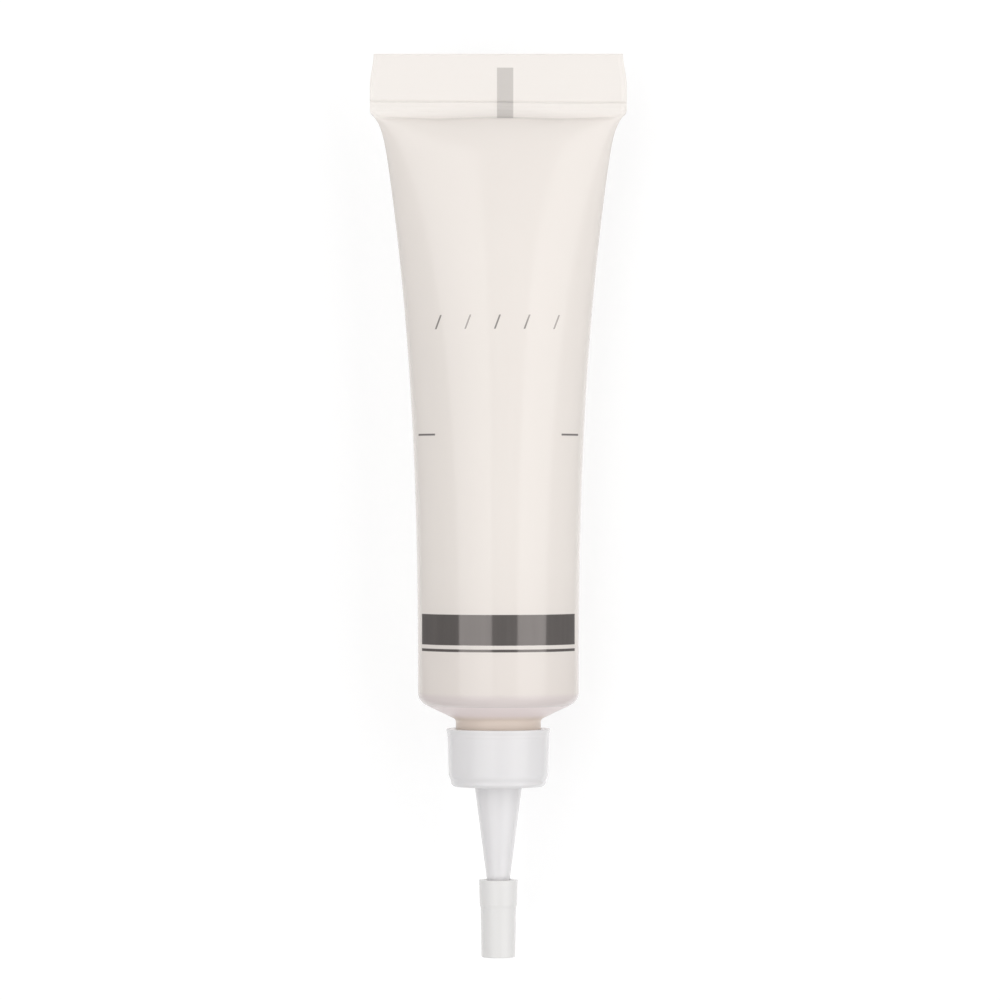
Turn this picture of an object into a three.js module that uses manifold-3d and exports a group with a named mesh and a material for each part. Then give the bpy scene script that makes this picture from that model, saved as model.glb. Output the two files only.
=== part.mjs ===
// A soft squeeze tube of repair paste, lying on a table: the flat welded tail points to +Y, and the round
// shoulder, the neck, the screw-on nozzle and its push-on tip cap to -Y. Millimetres, +Z up. The origin is
// on the table, under the middle of the tube's length and width.

import * as THREE from "three";
import { mergeVertices } from "three/addons/utils/BufferGeometryUtils.js";
import Module from "manifold-3d";

// Sleeve: a round film tube that is pressed flat towards its tail
const SLEEVE_RADIUS = 9.18;
const SLEEVE_WALL = 0.45;
const SLEEVE_LENGTH = 65.5; // from the shoulder corner to the foot of the weld
const SPREAD_POWER = 2.45; // how late the sides spread and the top falls on the way to the tail
const BELLY_POWER = 4.5; // the underside sags, so it rises later than the top falls
const FLARE_SHARE = 0.16; // share of the spread that comes in a short flare at the weld
const FLARE_POWER = 54;
const BELLY_SQUARENESS = 3; // power of the underside's settled section; 2 is round
const SETTLE_LENGTH = 12; // from the stiff shoulder to where the underside has settled
const REST_FLAT = 0.2; // depth of the flat that the table presses into the underside

// Weld: the tail, pressed into one flat strip
const WELD_WIDTH = 29.3;
const WELD_LENGTH = 7.2;
const WELD_THICKNESS = 0.9;
const WELD_LIP = 0.47; // how far the strip stands out beyond the sleeve on each side
const WELD_END_INSET = 0.35; // how much narrower each side is at the tail's edge
const WELD_SHOULDER = 3.6; // length of the strip, from its foot, that has the full width
const WELD_CORNER = 0.9;
const WELD_FOOT_OPENING = 0.3; // half the inside depth of the sleeve where the weld begins
const WELD_ROOT = 0.12; // how far the strip reaches into the sleeve's end
const CRIMP_HEIGHT = 1.6; // pressed line across the strip, measured from the foot
const CRIMP_WIDTH = 0.3;
const CRIMP_DEPTH = 0.12;

// Head: the shoulder cone and the neck
const SHOULDER_CORNER = 1.75; // outside radius of the corner that the sleeve wraps
const SHOULDER_ANGLE = THREE.MathUtils.degToRad(25.6); // slope of the cone
const SHOULDER_WALL = 1.1;
const RIM_HEIGHT = 1.6; // the head's rim stands inside the sleeve
const RIM_WALL = 0.9;
const NECK_RADIUS = 4.85;
const NECK_SHOWN = 1.08; // plain neck between the cone and the collar
const NECK_COVERED = 0.8; // plain neck inside the collar, above the thread
const NECK_BORE = 3.0;
const THREAD_DEPTH = 0.5;

// Nozzle: collar, floor and tapered spout in one moulding
const COLLAR_RADIUS = 5.82;
const COLLAR_HEIGHT = 6.56;
const COLLAR_DRAFT = 0.16; // how much the radius shrinks down to the foot step
const COLLAR_FLOOR = 1.1;
const LIP_OVERHANG = 0.1; // thin rim round the collar's open end
const LIP_HEIGHT = 0.35;
const FOOT_HEIGHT = 0.66; // narrower ring at the collar's closed end
const FOOT_STEP = 0.3;
const FOOT_CHAMFER = 0.25; // slant between the two radii, and the broken edge at the end
const SPOUT_BASE_RADIUS = 2.7;
const SPOUT_TIP_RADIUS = 0.66;
const SPOUT_LENGTH = 15.6;
const SPOUT_BASE_BORE = 1.7;
const SPOUT_TIP_BORE = 0.4;

// Tip cap: a closed sleeve with a thicker ring at its mouth
const CAP_LENGTH = 8.84;
const CAP_RADIUS = 2.02;
const CAP_DRAFT = 0.1; // how much the radius shrinks down to the closed end
const CAP_SOCKET_DEPTH = 5.24;
const CAP_RING_STEP = 0.18;
const CAP_RING_HEIGHT = 2.8;
const CAP_EDGE = 0.3; // slant under the ring, and the broken edge of the closed end

// Fits
const WELD_GAP = 0.3; // between the sleeve and the head that is welded into it
const PASTE_GAP = 0.3;
const PASTE_HEADSPACE = 2.5; // empty length under the weld
const THREAD_CLEARANCE = 0.3; // between the collar's bore and the plain neck
const SEAT_GAP = 0.3; // between the neck's mouth and the collar's floor
const CAP_CLEARANCE = 0.2;
const CAP_SEAT_GAP = 0.3;

// Facets
const SLEEVE_SIDES = 40;
const SLEEVE_STEPS = 20;
const CORNER_STEPS = 4;
const MOULDING_SIDES = 48;
const CAP_SIDES = 36;

const wasm = await Module();
wasm.setup();

// Levels along the tube's axis. Zero is where the straight sleeve meets the shoulder corner.
const weldFoot = SLEEVE_LENGTH;
const tailEnd = weldFoot + WELD_LENGTH;
const cornerSweep = Math.PI / 2 - SHOULDER_ANGLE;
const coneStart = cornerPoint(0, cornerSweep);
const neckStart = coneLevel(NECK_RADIUS);
const collarTop = neckStart - NECK_SHOWN;
const collarFoot = collarTop - COLLAR_HEIGHT;
const collarFloor = collarFoot + COLLAR_FLOOR;
const neckMouth = collarFloor + SEAT_GAP;
const spoutTip = collarFoot - SPOUT_LENGTH;
const socketEnd = spoutTip - CAP_SEAT_GAP;
const capMouth = socketEnd + CAP_SOCKET_DEPTH;
const capEnd = capMouth - CAP_LENGTH;

// Radii that two pieces share
const rimRadius = SLEEVE_RADIUS - SLEEVE_WALL - WELD_GAP;
const rimBore = rimRadius - RIM_WALL;
const threadRoot = NECK_RADIUS - THREAD_DEPTH;
const collarBore = NECK_RADIUS + THREAD_CLEARANCE;

// Shares from 0 to 1 in equal steps.
function shares(steps) {
  return Array.from({ length: steps + 1 }, (_, i) => i / steps);
}

// A point of the shoulder corner, some depth under its outside; angle 0 is level with the straight sleeve.
function cornerPoint(under, angle) {
  const radius = SHOULDER_CORNER - under;
  const centre = SLEEVE_RADIUS - SHOULDER_CORNER;
  return at(centre + radius * Math.cos(angle), -radius * Math.sin(angle));
}

// The whole corner from the straight sleeve to the cone, some depth under its outside.
function cornerArc(under) {
  return shares(CORNER_STEPS).map((share) => cornerPoint(under, share * cornerSweep));
}

// Level of the shoulder cone's outside at a radius, or of a surface some depth under it.
function coneLevel(radius, under = 0) {
  const outside = coneStart.y - (coneStart.x - radius) * Math.tan(SHOULDER_ANGLE);
  return outside + under / Math.cos(SHOULDER_ANGLE);
}

function spoutRadius(level) {
  const share = (collarFoot - level) / SPOUT_LENGTH;
  return THREE.MathUtils.lerp(SPOUT_BASE_RADIUS, SPOUT_TIP_RADIUS, share);
}

// Levels up the sleeve, closer together towards the weld, where the shape changes fastest.
function sleeveLevels(bottom, top) {
  return shares(SLEEVE_STEPS).map((share) => THREE.MathUtils.lerp(top, bottom, (1 - share) ** 2));
}

// A point of a turned profile.
function at(radius, level) {
  return new THREE.Vector2(radius, level);
}

// Half width and half depths of the pressed sleeve's outside at a level, and the power of its underside.
function pressedSection(level) {
  const share = THREE.MathUtils.clamp(level / SLEEVE_LENGTH, 0, 1);
  const spread = (1 - FLARE_SHARE) * share ** SPREAD_POWER + FLARE_SHARE * share ** FLARE_POWER;
  const footWidth = WELD_WIDTH / 2 - WELD_LIP;
  const footDepth = WELD_FOOT_OPENING + SLEEVE_WALL;
  const depth = (power) => THREE.MathUtils.lerp(footDepth, SLEEVE_RADIUS, Math.sqrt(1 - share ** power));
  return {
    side: THREE.MathUtils.lerp(SLEEVE_RADIUS, footWidth, spread),
    top: depth(SPREAD_POWER),
    belly: depth(BELLY_POWER),
    power: THREE.MathUtils.lerp(2, BELLY_SQUARENESS, THREE.MathUtils.smoothstep(level, 0, SETTLE_LENGTH)),
  };
}

// Presses a round solid to the sleeve's form. Each point keeps its depth under the outside.
function pressFlat(geometry) {
  const points = geometry.getAttribute("position");
  for (let i = 0; i < points.count; i++) {
    const x = points.getX(i);
    const z = points.getZ(i);
    const radius = Math.hypot(x, z);
    if (radius === 0) continue;
    const under = SLEEVE_RADIUS - radius;
    const { side, top, belly, power } = pressedSection(points.getY(i));
    const fall = Math.max(0, 1 - Math.abs(x / radius) ** power) ** (1 / power);
    points.setX(i, (x / radius) * (side - under));
    points.setZ(i, z > 0 ? (z / radius) * (top - under) : -fall * (belly - under));
  }
  return geometry;
}

function asSolid(geometry) {
  const bare = geometry.clone();
  bare.deleteAttribute("normal");
  bare.deleteAttribute("uv");
  const merged = mergeVertices(bare);
  const vertProperties = new Float32Array(merged.getAttribute("position").array);
  const triVerts = new Uint32Array(merged.index.array);
  return new wasm.Manifold(new wasm.Mesh({ numProp: 3, vertProperties, triVerts }));
}

function asGeometry(solid) {
  const { vertProperties, triVerts } = solid.getMesh();
  const geometry = new THREE.BufferGeometry();
  geometry.setAttribute("position", new THREE.BufferAttribute(vertProperties, 3));
  geometry.setIndex(new THREE.BufferAttribute(triVerts, 1));
  geometry.computeVertexNormals();
  return geometry;
}

// The flat strip at the tail: full width at its foot, with round lower corners, drawn in at its edge.
function weldStrip() {
  const side = WELD_WIDTH / 2;
  const end = side - WELD_END_INSET;
  const foot = weldFoot - WELD_ROOT;
  const bend = weldFoot + WELD_SHOULDER;
  const middle = (bend + tailEnd) / 2;
  const outline = new THREE.Shape();
  outline.moveTo(-side + WELD_CORNER, foot);
  outline.lineTo(side - WELD_CORNER, foot);
  outline.quadraticCurveTo(side, foot, side, foot + WELD_CORNER);
  outline.lineTo(side, bend);
  outline.bezierCurveTo(side, middle, end, middle, end, tailEnd);
  outline.lineTo(-end, tailEnd);
  outline.bezierCurveTo(-end, middle, -side, middle, -side, bend);
  outline.lineTo(-side, foot + WELD_CORNER);
  outline.quadraticCurveTo(-side, foot, -side + WELD_CORNER, foot);
  const strip = new THREE.ExtrudeGeometry(outline, {
    depth: WELD_THICKNESS,
    bevelEnabled: false,
    curveSegments: CORNER_STEPS,
  });
  return asSolid(strip.translate(0, 0, -WELD_THICKNESS / 2));
}

// A block across the whole strip that presses the crimp line into one of its faces.
function crimpBlock(face) {
  const block = new THREE.BoxGeometry(2 * WELD_WIDTH, CRIMP_WIDTH, 2 * CRIMP_DEPTH);
  return asSolid(block.translate(0, weldFoot + CRIMP_HEIGHT, (face * WELD_THICKNESS) / 2));
}

// The table, as a block under the tube.
function tableBlock() {
  const size = 2 * (tailEnd - capEnd);
  const block = new THREE.BoxGeometry(size, size, size);
  return asSolid(block.translate(0, 0, REST_FLAT - SLEEVE_RADIUS - size / 2));
}

function sleeveGeometry() {
  const outside = sleeveLevels(0, weldFoot).map((level) => at(SLEEVE_RADIUS, level));
  const inside = sleeveLevels(0, weldFoot).map((level) => at(SLEEVE_RADIUS - SLEEVE_WALL, level));
  const profile = [
    ...cornerArc(0).reverse(),
    ...outside.slice(1),
    ...inside.reverse(),
    ...cornerArc(SLEEVE_WALL).slice(1),
    cornerPoint(0, cornerSweep),
  ];
  const film = asSolid(pressFlat(new THREE.LatheGeometry(profile, SLEEVE_SIDES)));
  const sealed = film.add(weldStrip()).subtract(crimpBlock(1)).subtract(crimpBlock(-1));
  return asGeometry(sealed.subtract(tableBlock()));
}

function headGeometry() {
  const seat = SLEEVE_WALL + WELD_GAP;
  const stepIn = at(-Math.cos(SHOULDER_ANGLE), -Math.sin(SHOULDER_ANGLE)).multiplyScalar(WELD_GAP);
  const profile = [
    at(NECK_BORE, coneLevel(NECK_BORE, SHOULDER_WALL)),
    at(NECK_BORE, neckMouth),
    at(threadRoot, neckMouth),
    at(threadRoot, collarTop - NECK_COVERED),
    at(NECK_RADIUS, collarTop - NECK_COVERED),
    at(NECK_RADIUS, neckStart),
    cornerPoint(0, cornerSweep).add(stepIn),
    cornerPoint(seat, cornerSweep).add(stepIn),
    ...cornerArc(seat).reverse(),
    at(rimRadius, RIM_HEIGHT),
    at(rimBore, RIM_HEIGHT),
    at(rimBore, coneLevel(rimBore, SHOULDER_WALL)),
    at(NECK_BORE, coneLevel(NECK_BORE, SHOULDER_WALL)),
  ];
  return new THREE.LatheGeometry(profile, MOULDING_SIDES);
}

function pasteGeometry() {
  const radius = SLEEVE_RADIUS - SLEEVE_WALL - PASTE_GAP;
  const overRim = RIM_HEIGHT + PASTE_GAP;
  const insideRim = rimBore - PASTE_GAP;
  const plug = NECK_BORE - PASTE_GAP;
  const cone = SHOULDER_WALL + PASTE_GAP;
  const body = sleeveLevels(overRim, weldFoot - PASTE_HEADSPACE).map((level) => at(radius, level));
  const profile = [
    at(0, neckMouth),
    at(plug, neckMouth),
    at(plug, coneLevel(plug, cone)),
    at(insideRim, coneLevel(insideRim, cone)),
    at(insideRim, overRim),
    ...body,
    at(0, weldFoot - PASTE_HEADSPACE),
  ];
  return pressFlat(new THREE.LatheGeometry(profile, SLEEVE_SIDES));
}

function nozzleGeometry() {
  const lip = COLLAR_RADIUS + LIP_OVERHANG;
  const drawn = COLLAR_RADIUS - COLLAR_DRAFT;
  const foot = drawn - FOOT_STEP;
  const footTop = collarFoot + FOOT_HEIGHT;
  const profile = [
    at(collarBore, collarFloor),
    at(SPOUT_BASE_BORE, collarFloor),
    at(SPOUT_TIP_BORE, spoutTip),
    at(SPOUT_TIP_RADIUS, spoutTip),
    at(SPOUT_BASE_RADIUS, collarFoot),
    at(foot - FOOT_CHAMFER, collarFoot),
    at(foot, collarFoot + FOOT_CHAMFER),
    at(foot, footTop),
    at(drawn, footTop + FOOT_CHAMFER),
    at(COLLAR_RADIUS, collarTop - LIP_HEIGHT),
    at(lip, collarTop - LIP_HEIGHT),
    at(lip, collarTop),
    at(collarBore, collarTop),
    at(collarBore, collarFloor),
  ];
  return new THREE.LatheGeometry(profile, MOULDING_SIDES);
}

function capGeometry() {
  const mouthBore = spoutRadius(capMouth) + CAP_CLEARANCE;
  const endBore = spoutRadius(spoutTip) + CAP_CLEARANCE;
  const ringFoot = capMouth - CAP_RING_HEIGHT;
  const endRadius = CAP_RADIUS - CAP_DRAFT;
  const profile = [
    at(0, capEnd),
    at(endRadius - CAP_EDGE, capEnd),
    at(endRadius, capEnd + CAP_EDGE),
    at(CAP_RADIUS, ringFoot - CAP_EDGE),
    at(CAP_RADIUS + CAP_RING_STEP, ringFoot),
    at(CAP_RADIUS + CAP_RING_STEP, capMouth),
    at(mouthBore, capMouth),
    at(endBore, spoutTip),
    at(endBore, socketEnd),
    at(0, socketEnd),
  ];
  return new THREE.LatheGeometry(profile, CAP_SIDES);
}

function piece(name, geometry, color, roughness) {
  const mesh = new THREE.Mesh(geometry, new THREE.MeshStandardMaterial({ color, roughness, metalness: 0 }));
  mesh.name = name;
  return mesh;
}

const tipCap = piece("tip_cap", capGeometry(), 0xe7e6e3, 0.45);

const nozzle = new THREE.Group();
nozzle.add(piece("nozzle_cap", nozzleGeometry(), 0xe8e7e5, 0.45), tipCap);

const tube = new THREE.Group();
tube.add(
  piece("tube_sleeve", sleeveGeometry(), 0xebe6e1, 0.3),
  piece("tube_head", headGeometry(), 0xe3d9d0, 0.4),
  piece("repair_paste", pasteGeometry(), 0xeee6da, 0.7),
  nozzle,
);
tube.position.set(0, -(tailEnd + capEnd) / 2, SLEEVE_RADIUS - REST_FLAT);

const repairTube = new THREE.Group();
repairTube.add(tube);

export default repairTube;
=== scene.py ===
"""A soft squeeze tube of repair paste, dressed for its picture.

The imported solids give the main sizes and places. Each operator makes one piece of the tube, finer than its
solid and in the same frame, and one more makes the table, the lamps and the camera.
"""

import math

import bmesh
import bpy
from bpy.props import FloatProperty, FloatVectorProperty, IntProperty, PointerProperty
from bpy.types import Operator, Panel, PropertyGroup
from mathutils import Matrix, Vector


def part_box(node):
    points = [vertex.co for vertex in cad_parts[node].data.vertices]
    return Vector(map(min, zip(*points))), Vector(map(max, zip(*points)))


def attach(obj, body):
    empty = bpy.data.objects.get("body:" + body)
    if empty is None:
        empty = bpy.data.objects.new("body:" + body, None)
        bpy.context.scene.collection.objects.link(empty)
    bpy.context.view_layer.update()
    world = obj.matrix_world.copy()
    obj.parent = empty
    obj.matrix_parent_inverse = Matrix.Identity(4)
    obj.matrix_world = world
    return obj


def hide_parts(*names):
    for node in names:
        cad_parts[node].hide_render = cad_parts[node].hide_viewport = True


bl_info = {
    "name": "Repair paste tube",
    "version": (1, 0, 0),
    "blender": (4, 5, 0),
    "location": "View3D > Sidebar > Paste tube",
    "description": "Makes a soft squeeze tube of repair paste with its nozzle and tip cap",
    "category": "Add Mesh",
}

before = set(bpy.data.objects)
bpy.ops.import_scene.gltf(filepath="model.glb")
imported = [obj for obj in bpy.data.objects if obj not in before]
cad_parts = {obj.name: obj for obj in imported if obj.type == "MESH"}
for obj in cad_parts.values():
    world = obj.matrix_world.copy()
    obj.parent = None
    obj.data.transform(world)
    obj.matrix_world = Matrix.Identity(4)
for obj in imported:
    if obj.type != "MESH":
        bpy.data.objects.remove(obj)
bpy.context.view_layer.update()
MM = 0.001

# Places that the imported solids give, in metres
SLEEVE_LOW, SLEEVE_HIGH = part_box("tube_sleeve")
HEAD_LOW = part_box("tube_head")[0]
PASTE_LOW, PASTE_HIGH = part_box("repair_paste")
NOZZLE_LOW, NOZZLE_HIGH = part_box("nozzle_cap")
CAP_LOW, CAP_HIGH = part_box("tip_cap")
AXIS_HEIGHT = (NOZZLE_LOW.z + NOZZLE_HIGH.z) / 2

# How finely the pieces are meshed
FILM_SIDES = 160
TURNED_SIDES = 128
CURVE_STEPS = 6
FILM_ROWS = 120
LINING_ROWS = 60
PASTE_ROWS = 60
THREAD_ROWS = 60
ROWS_PER_RIB = 6

# The power of a round outline, and a thread's half widths at its foot and crest as shares of its pitch
ROUND_POWER = 2
THREAD_FOOT = 0.34
THREAD_CREST = 0.14

# Pressed lines across the welded strip: share of the main line's height, and of its depth
PRESSED_LINES = ((1.0, 1.0), (0.66, 0.25), (0.36, 0.25))

# The paste's end in the neck's mouth: share of the radius, and of the dimple's depth
DIMPLE_OUTLINE = ((0.0, 1.0), (0.5, 0.7), (0.9, 0.1), (1.0, 0.0))

# Grain of the finishes, in lumps to the metre
FILM_CLOUD = 55.0
FILM_DRAWING = 1400.0
MOULD_CLOUD = 160.0
MOULD_SKIN = 5200.0
PASTE_CLOUD = 90.0
PASTE_LUMPS = 420.0


def length(name, description, default):
    """A property that holds a length in metres."""
    return FloatProperty(name=name, description=description, default=default, unit="LENGTH", precision=5)


def degrees(name, description, default):
    """A property that holds an angle, which is given here in degrees."""
    return FloatProperty(name=name, description=description, default=math.radians(default), subtype="ANGLE")


def share(name, description, default):
    """A property that holds a plain number."""
    return FloatProperty(name=name, description=description, default=default, precision=3)


def colour(name, description, default):
    """A property that holds a linear colour."""
    return FloatVectorProperty(
        name=name, description=description, default=default, subtype="COLOR", size=3, min=0.0, max=1.0
    )


class SleeveSizes(PropertyGroup):
    """Sizes of the film sleeve and its welded tail."""

    radius: length("Radius", "Outside of the round film at the shoulder", SLEEVE_HIGH.z - AXIS_HEIGHT)
    wall: length("Wall", "Thickness of the film", 0.45 * MM)
    corner: length("Shoulder corner", "Outside radius of the corner that the film wraps", 1.75 * MM)
    cone_angle: degrees("Cone angle", "Slope of the shoulder cone under the film's end", 25.6)
    spread_power: share("Spread", "How late the sides spread and the top falls towards the tail", 2.45)
    belly_power: share("Belly", "How late the underside rises towards the tail", 4.5)
    flare_share: share("Flare share", "Share of the spread that comes in the short flare at the weld", 0.16)
    flare_power: share("Flare", "How short the flare at the weld is", 54.0)
    squareness: share("Squareness", "Power of the settled underside's outline, where 2 is round", 3.0)
    settle: length("Settle", "From the stiff shoulder to where the underside has settled", 12 * MM)
    weld_length: length("Weld length", "Length of the flat welded strip", 7.2 * MM)
    weld_thickness: length("Weld thickness", "Thickness of the welded strip", 0.9 * MM)
    weld_lip: length("Weld lip", "How far the strip stands out beyond the film on each side", 0.47 * MM)
    weld_corner: length("Weld corner", "Rounding of the strip's lower corners", 0.9 * MM)
    end_inset: length("End inset", "How much narrower each side is at the tail's edge", 0.42 * MM)
    end_start: length("Inset start", "Length of the strip, from its foot, that has the full width", 3.6 * MM)
    foot_opening: length("Foot opening", "Half the inside depth of the sleeve at the weld", 0.3 * MM)
    foot_wave: length("Foot wave", "Depth of the two shallow arcs in the weld's lower edge", 0.22 * MM)
    foot_slope: length("Foot slope", "Length over which the film is pressed into the strip", 0.8 * MM)
    wave_reach: length("Wave reach", "How far below the weld its wavy edge still bends the film", 4 * MM)
    weld_squareness: share("Weld squareness", "Power of the strip's outline, which is nearly square", 16.0)
    rib_pitch: length("Rib pitch", "Spacing of the fine ribs that the welding jaws leave", 0.26 * MM)
    rib_depth: length("Rib depth", "Depth of the fine ribs", 0.004 * MM)
    crimp_height: length("Crimp height", "Pressed line across the strip, from its foot", 1.68 * MM)
    crimp_tilt: share("Crimp tilt", "How far the pressed line falls for its run to the right", 0.006)
    crimp_width: length("Crimp width", "Width of the pressed line", 0.24 * MM)
    crimp_depth: length("Crimp depth", "Depth of the pressed line", 0.15 * MM)
    fold_inset: length("Fold inset", "Distance of the fold's line from the strip's side", 0.34 * MM)
    fold_width: length("Fold width", "Half width of the fold's line", 0.119 * MM)
    fold_depth: length("Fold depth", "Depth of the fold's line", 0.1 * MM)
    edge_length: length("Edge length", "Length of the tail's edge that the welding jaws thinned", 0.25 * MM)
    edge_share: share("Edge share", "Share of the strip's thickness that is left at the tail's edge", 0.7)


class HeadSizes(PropertyGroup):
    """Sizes of the moulded head: rim, shoulder cone and threaded neck."""

    seat_gap: length("Seat gap", "Room between the head and the film that wraps it", 0.02 * MM)
    wall: length("Wall", "Thickness of the cone", 1.1 * MM)
    rim_height: length("Rim height", "How far the rim stands inside the film", 1.6 * MM)
    rim_wall: length("Rim wall", "Thickness of the rim", 0.9 * MM)
    neck_radius: length("Neck radius", "Plain neck between the cone and the thread", 4.85 * MM)
    neck_covered: length("Covered neck", "Plain neck inside the collar, above the thread", 0.8 * MM)
    bore: length("Bore", "Radius of the opening through the neck", 3.0 * MM)
    thread_depth: length("Thread depth", "From the plain neck down to the thread's root", 0.5 * MM)
    thread_height: length("Thread height", "From the thread's root up to its crest", 0.24 * MM)
    thread_pitch: length("Thread pitch", "Rise of the thread in one turn", 1.7 * MM)
    thread_start: length("Thread start", "From the neck's mouth to the thread", 0.3 * MM)
    thread_end: length("Thread end", "From the thread to the plain neck", 0.05 * MM)


class PasteSizes(PropertyGroup):
    """Sizes of the paste that fills the tube."""

    gap: length("Gap", "Room between the paste and the film", 0.04 * MM)
    rim_round: length("Rim round", "Rounding of the paste's corner under the head's rim", 0.5 * MM)
    front_round: length("Front", "Rounding of the paste's end under the weld", 0.6 * MM)
    dimple: length("Dimple", "How far the paste is drawn in at the neck's mouth", 0.35 * MM)


class NozzleSizes(PropertyGroup):
    """Sizes of the screw-on nozzle: collar, floor and spout."""

    collar_radius: length("Collar radius", "Outside of the collar under its lip", 5.82 * MM)
    collar_height: length("Collar height", "Height of the collar", 6.56 * MM)
    collar_bore: length("Collar bore", "Inside of the collar at the thread's root", 5.15 * MM)
    mouth_gap: length("Mouth gap", "Room between the collar's mouth and the plain neck", 0.1 * MM)
    mouth_height: length("Mouth height", "Height of the narrower bore at the collar's mouth", 0.5 * MM)
    mouth_slant: length("Mouth slant", "Height of the slant under that bore", 0.1 * MM)
    draft: length("Draft", "How much the collar's radius shrinks down to its foot", 0.16 * MM)
    floor: length("Floor", "Thickness of the collar's closed end", 1.1 * MM)
    lip_height: length("Lip height", "Height of the thin rim round the collar's open end", 0.2 * MM)
    lip_slant: length("Lip slant", "Height of the slant under that rim", 0.35 * MM)
    line_depth: length("Line depth", "Depth of the faint line under the lip", 0.03 * MM)
    line_place: length("Line place", "Distance of the faint line from the open end", 0.88 * MM)
    line_width: length("Line width", "Width of the faint line", 0.22 * MM)
    foot_height: length("Foot height", "Height of the narrower ring at the closed end", 0.66 * MM)
    foot_step: length("Foot step", "How much narrower that ring is", 0.26 * MM)
    foot_slant: length("Foot slant", "Height of the slant above that ring", 0.55 * MM)
    chamfer: length("Chamfer", "Slant of the foot's lower edge", 0.3 * MM)
    spout_base: length("Spout base", "Radius of the spout at the collar", 2.7 * MM)
    spout_tip: length("Spout tip", "Radius of the spout at its tip", 0.66 * MM)
    base_bore: length("Base bore", "Radius of the channel at the collar", 1.7 * MM)
    tip_bore: length("Tip bore", "Radius of the channel at the tip", 0.4 * MM)
    thread_height: length("Thread height", "From the collar's bore to the thread's crest", 0.4 * MM)
    thread_start: length("Thread start", "From the collar's floor to the thread", 0.4 * MM)
    thread_end: length("Thread end", "From the thread to where the plain neck starts", 0.3 * MM)
    edge: length("Edge", "Rounding of the moulded edges", 0.12 * MM)


class CapSizes(PropertyGroup):
    """Sizes of the push-on tip cap."""

    radius: length("Radius", "Outside of the cap under its ring", 2.02 * MM)
    draft: length("Draft", "How much the radius shrinks down to the closed end", 0.1 * MM)
    ring_height: length("Ring height", "Height of the thicker ring at the mouth", 2.8 * MM)
    ring_draft: length("Ring draft", "How much the ring's radius shrinks down to its foot", 0.07 * MM)
    ring_slant: length("Ring slant", "Length of the slant under the ring", 0.4 * MM)
    edge: length("Edge", "Rounding of the closed end", 0.2 * MM)
    clearance: length("Clearance", "Room between the socket and the spout", 0.12 * MM)
    floor_gap: length("Floor gap", "Room between the spout's tip and the socket's floor", 0.3 * MM)
    lead_width: length("Lead width", "How much wider the socket is at its mouth", 0.12 * MM)
    lead_depth: length("Lead depth", "Depth of that wider mouth", 0.3 * MM)
    gate: length("Gate", "Radius of the dimple that the moulding gate leaves", 0.45 * MM)
    gate_floor: length("Gate floor", "Radius of the dimple's floor", 0.27 * MM)
    gate_depth: length("Gate depth", "Depth of the dimple", 0.12 * MM)


class PrintSizes(PropertyGroup):
    """Places of the plain printed lines on the front of the film."""

    half_width: length("Half width", "Half the width of the band and of the line", 8.67 * MM)
    band_low: length("Band foot", "Lower edge of the wide band", -15.74 * MM)
    band_high: length("Band head", "Upper edge of the wide band", -12.28 * MM)
    line_low: length("Line foot", "Lower edge of the thin line", -16.49 * MM)
    line_high: length("Line head", "Upper edge of the thin line", -16.18 * MM)
    dash_place: length("Dash place", "Middle of the two short dashes", 8.02 * MM)
    dash_inner: length("Dash start", "Distance of each dash from the middle", 7.15 * MM)
    dash_outer: length("Dash end", "Distance of each dash's outer end from the middle", 9.05 * MM)
    dash_width: length("Dash width", "Width of the dashes", 0.21 * MM)
    dash_cover: share("Dash cover", "How much ink the dashes have", 0.85)
    stroke_count: IntProperty(name="Stroke count", description="Number of slanted strokes", default=5, min=1)
    stroke_place: length("Stroke place", "Middle of the row of slanted strokes", 20.72 * MM)
    stroke_height: length("Stroke height", "Height of the slanted strokes", 1.6 * MM)
    stroke_pitch: length("Stroke pitch", "Spacing of the slanted strokes", 3.34 * MM)
    stroke_width: length("Stroke width", "Width of the slanted strokes", 0.19 * MM)
    stroke_slant: share("Stroke slant", "Sideways run of a stroke for its height", 0.37)
    stroke_cover: share("Stroke cover", "How much ink the strokes have", 0.75)
    stroke_shift: length("Stroke shift", "How far the row stands to the right of the axis", -0.1 * MM)
    mark_left: length("Mark left", "Left side of the register mark on the tail", -0.15 * MM)
    mark_right: length("Mark right", "Right side of the register mark", 1.7 * MM)
    mark_low: length("Mark foot", "Lower edge of the register mark", 44.1 * MM)
    mark_high: length("Mark head", "Upper edge of the register mark", 49.9 * MM)
    mark_cover: share("Mark cover", "How much ink the register mark has", 0.38)
    softness: length("Softness", "Width of the blur along printed edges", 0.06 * MM)


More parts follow.
